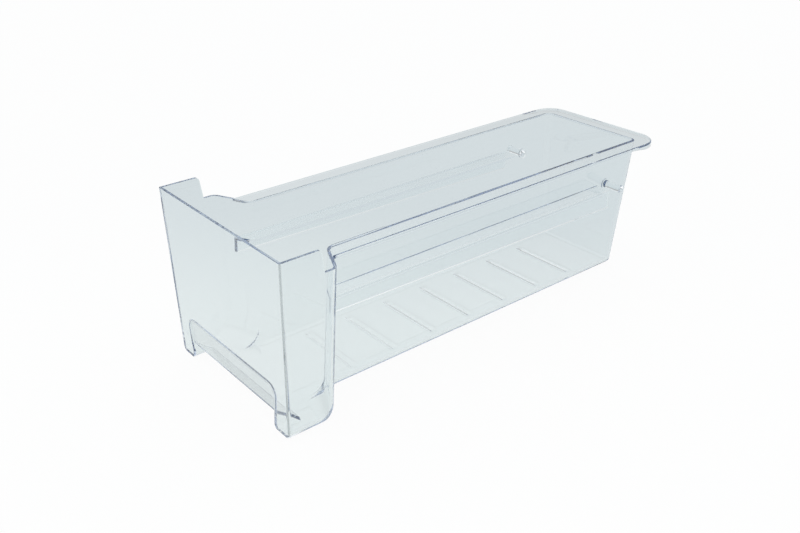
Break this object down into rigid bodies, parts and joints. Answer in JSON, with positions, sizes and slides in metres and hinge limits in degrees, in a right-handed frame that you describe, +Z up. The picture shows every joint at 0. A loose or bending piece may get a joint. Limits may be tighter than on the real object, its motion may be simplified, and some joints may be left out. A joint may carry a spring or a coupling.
{
  "type": "freezer drawer",
  "caption": "Clear moulded freezer drawer: wide front with side returns, narrow tapered tub, rim and runner ledges to slide on, rear guide pegs and a finger pull under the front.",
  "frame": {"origin": "centre of the footprint, on the surface the drawer stands on", "axes": "+Z up, -Y towards the front panel, +Y towards the rear, +X to the right of the front"},
  "size_m": [0.175, 0.43, 0.147],
  "materials": {
    "clear_plastic": "clear moulding with a pale blue-grey tint"
  },
  "bodies": {
    "root": {"drawer": "clear_plastic"}
  },
  "joints": []
}
